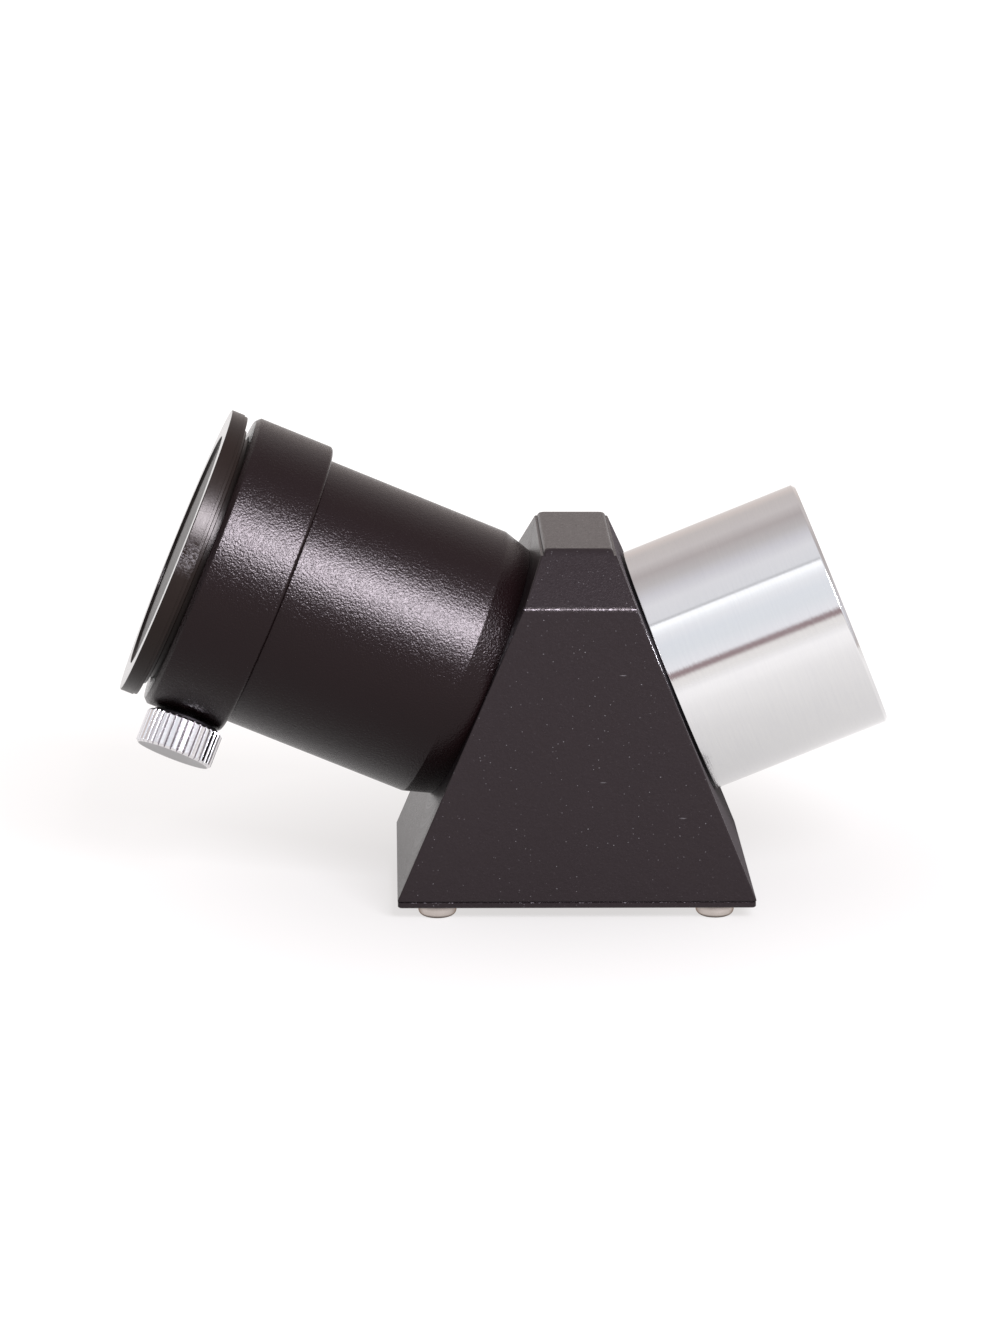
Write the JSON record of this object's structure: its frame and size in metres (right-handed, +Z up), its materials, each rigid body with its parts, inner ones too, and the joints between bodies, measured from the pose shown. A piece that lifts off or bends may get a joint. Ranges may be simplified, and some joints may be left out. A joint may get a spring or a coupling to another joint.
{
  "type": "star diagonal",
  "caption": "45-degree erecting prism diagonal: trapezoid prism housing, eyepiece holder with thumbscrew and dust cap, chrome nosepiece, screw feet.",
  "frame": {"origin": "on the plane that the four screw heads stand on, midway between them and under the crossing of the two optical axes", "axes": "+X toward the telescope side (nosepiece), -X toward the eyepiece side, +Z up; both optical axes lie in the XZ plane and rise 22.5 degrees outward"},
  "size_m": [0.0956, 0.038, 0.0599],
  "materials": {
    "black_paint": "satin black paint with a fine texture, worn bright along the edges",
    "black_anodised": "bead-blasted black anodising with a faint violet cast",
    "matt_black_metal": "flat black",
    "chrome": "polished",
    "nickel_steel": "bright nickel plate",
    "optical_glass": "polished",
    "black_nylon": "matt moulded",
    "black_cap_plastic": "semi-gloss moulded",
    "brass": "turned",
    "bronze": "rolled spring strip",
    "rubber": "matt",
    "cork": "granular"
  },
  "bodies": {
    "frame": {"housing": "black_paint", "base_plate": "black_paint", "eyepiece_barrel": "black_anodised", "collar": "black_anodised", "barrel_lock_ring": "matt_black_metal", "nosepiece_lock_ring": "matt_black_metal", "eyepiece_stop_ring": "matt_black_metal", "nosepiece_baffle": "matt_black_metal", "entrance_mask": "matt_black_metal", "exit_mask": "matt_black_metal", "nosepiece": "chrome", "base_screws": "nickel_steel", "cradle_screws": "nickel_steel", "clamp_screws": "nickel_steel", "roof_prism": "optical_glass", "prism_cradle": "black_nylon", "compression_ring": "brass", "clamp_strap": "bronze", "clamp_pad": "rubber", "cradle_pads": "cork"},
    "dust_cap": {"dust_cap": "black_cap_plastic"},
    "screw_tip": {"thumbscrew_tip": "brass"},
    "thumbscrew": {"thumbscrew_knob": "chrome", "thumbscrew_shank": "matt_black_metal"}
  },
  "joints": [
    {"name": "cap_slide", "type": "slide", "parent": "frame", "child": "dust_cap", "axis": [-0.9239, 0, 0.3827], "range_m": [-0.00055, 0.03]},
    {"name": "tip_slide", "type": "slide", "parent": "frame", "child": "screw_tip", "axis": [-0.3553, -0.3714, -0.8578], "range_m": [0, 0.0014]},
    {"name": "thumbscrew_turn", "type": "hinge", "parent": "screw_tip", "child": "thumbscrew", "pos_m": [-0.04111, 0, 0.03933], "axis": [-0.3553, -0.3714, -0.8578], "range_deg": [0, 721]}
  ],
  "couplings": [
    {"joint": "thumbscrew_turn", "follows": "tip_slide", "rad_per_m": 8976}
  ]
}
